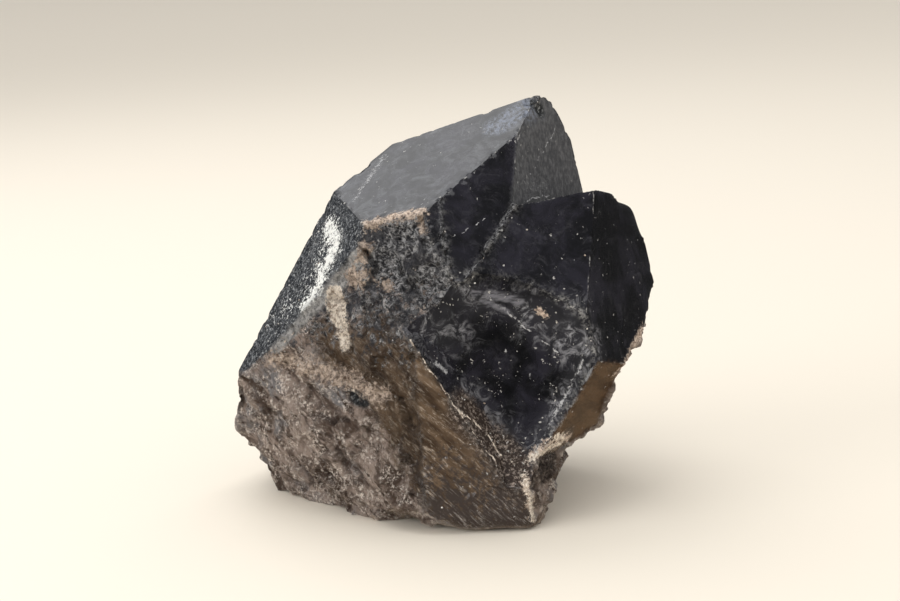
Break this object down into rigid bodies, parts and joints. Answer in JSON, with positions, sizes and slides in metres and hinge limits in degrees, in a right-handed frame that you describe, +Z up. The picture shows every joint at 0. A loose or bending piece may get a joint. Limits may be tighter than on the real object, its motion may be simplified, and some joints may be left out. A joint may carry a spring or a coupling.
{
  "type": "smoky quartz crystal",
  "caption": "Palm-sized smoky quartz specimen: a leaning pointed crystal with a smaller one grown onto its side, glossy faces, a rough broken foot and shell-shaped chips; stands on its foot.",
  "frame": {"origin": "bottom centre of the bounding box, on the surface that the stone stands on", "axes": "+Z up, +X to the viewer's right along the width, +Y away from the viewer, who faces the front hollow"},
  "size_m": [0.0678, 0.048, 0.0613],
  "materials": {
    "smoky_quartz": "glassy near-black natural faces, brown where thin, dull grey-brown broken surfaces with pale crust"
  },
  "bodies": {
    "root": {"smoky_quartz_crystal": "smoky_quartz"}
  },
  "joints": []
}
